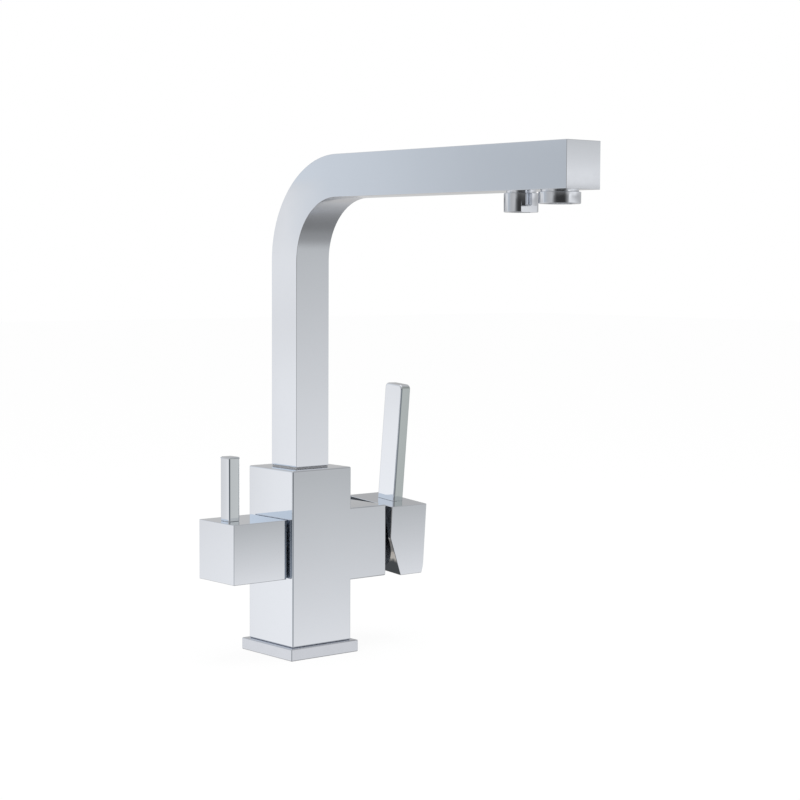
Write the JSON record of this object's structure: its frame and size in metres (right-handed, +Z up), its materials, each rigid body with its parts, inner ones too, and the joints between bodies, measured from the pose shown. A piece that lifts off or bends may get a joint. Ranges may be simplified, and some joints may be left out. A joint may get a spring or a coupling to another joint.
{
  "type": "three_way_kitchen_tap",
  "caption": "Square-section chrome kitchen tap with a swivel spout, a mixer handle for hot and cold water, and a quarter-turn handle and nozzle of its own for filtered water.",
  "frame": {"origin": "On the swivel axis of the spout, at the underside of the base plate, where the tap stands on the deck.", "axes": "+Z up along the spout's swivel axis. The spout points along -Y, towards the user. +X is the mixer side and -X the filtered water side. Metres."},
  "size_m": [0.1453, 0.2678, 0.304],
  "materials": {
    "chrome_plate": "bright chrome plate on brass",
    "base_chrome": "chrome plate with a slightly softer polish",
    "bare_brass": "turned brass",
    "stainless_steel": "plain stainless steel",
    "black_rubber": "moulded nitrile rubber",
    "white_plastic": "moulded acetal",
    "grey_plastic": "moulded acetal, light grey",
    "ceramic": null
  },
  "bodies": {
    "root": {"base_plate": "base_chrome", "base_seal": "black_rubber", "body": "chrome_plate", "spout_retaining_screw": "stainless_steel", "spout_glide_ring": "grey_plastic", "cartridge_base_seals": "black_rubber", "cartridge_housing": "white_plastic", "cartridge_fixed_disc": "ceramic", "cartridge_nut": "bare_brass", "cartridge_dome": "chrome_plate", "valve_seat_washer": "black_rubber", "valve_fixed_disc": "ceramic", "valve_bonnet": "bare_brass", "bonnet_seal": "black_rubber"},
    "spout": {"spout_tube": "chrome_plate", "spout_spigot": "bare_brass", "spigot_seals": "black_rubber", "filtered_water_tube": "white_plastic", "filtered_tube_seal": "black_rubber", "filtered_tube_elbow": "white_plastic", "mixed_outlet_bush": "chrome_plate", "aerator_housing": "chrome_plate", "aerator_insert": "grey_plastic", "aerator_washer": "black_rubber", "filtered_outlet_bush": "chrome_plate", "filter_nozzle": "chrome_plate", "filter_nozzle_insert": "grey_plastic", "filter_nozzle_washer": "black_rubber"},
    "mixer_turn": {"cartridge_carrier": "grey_plastic", "cartridge_pivot_pin": "stainless_steel"},
    "mixer_disc": {"cartridge_moving_disc": "ceramic", "disc_driver": "grey_plastic"},
    "mixer_lift": {"cartridge_stem": "stainless_steel", "mixer_handle": "chrome_plate", "mixer_lever": "chrome_plate", "mixer_grub_screw": "stainless_steel"},
    "filter_turn": {"valve_spindle": "bare_brass", "valve_moving_disc": "ceramic", "spindle_seal": "black_rubber", "filter_handle": "chrome_plate", "filter_lever": "chrome_plate", "filter_grub_screw": "stainless_steel"}
  },
  "joints": [
    {"name": "spout_swivel", "type": "hinge", "parent": "root", "child": "spout", "pos_m": [0, 0, 0.115], "axis": [0, 0, 1], "continuous": true},
    {"name": "mixer_temperature", "type": "hinge", "parent": "root", "child": "mixer_turn", "pos_m": [0.05, 0, 0.06705], "axis": [1, 0, 0], "range_deg": [-49.3, 40.7]},
    {"name": "mixer_flow", "type": "hinge", "parent": "mixer_turn", "child": "mixer_lift", "pos_m": [0.045, 0, 0.06705], "axis": [0, 0.9972, 0.075], "range_deg": [0, 25]},
    {"name": "mixer_disc_slide", "type": "slide", "parent": "mixer_turn", "child": "mixer_disc", "axis": [0, -0.075, 0.9972], "range_m": [0, 0.0046]},
    {"name": "filter_quarter_turn", "type": "hinge", "parent": "root", "child": "filter_turn", "pos_m": [-0.0435, 0, 0.06705], "axis": [1, 0, 0], "range_deg": [0, 90]}
  ],
  "couplings": [
    {"joint": "mixer_disc_slide", "follows": "mixer_flow", "m_per_rad": 0.01033}
  ]
}
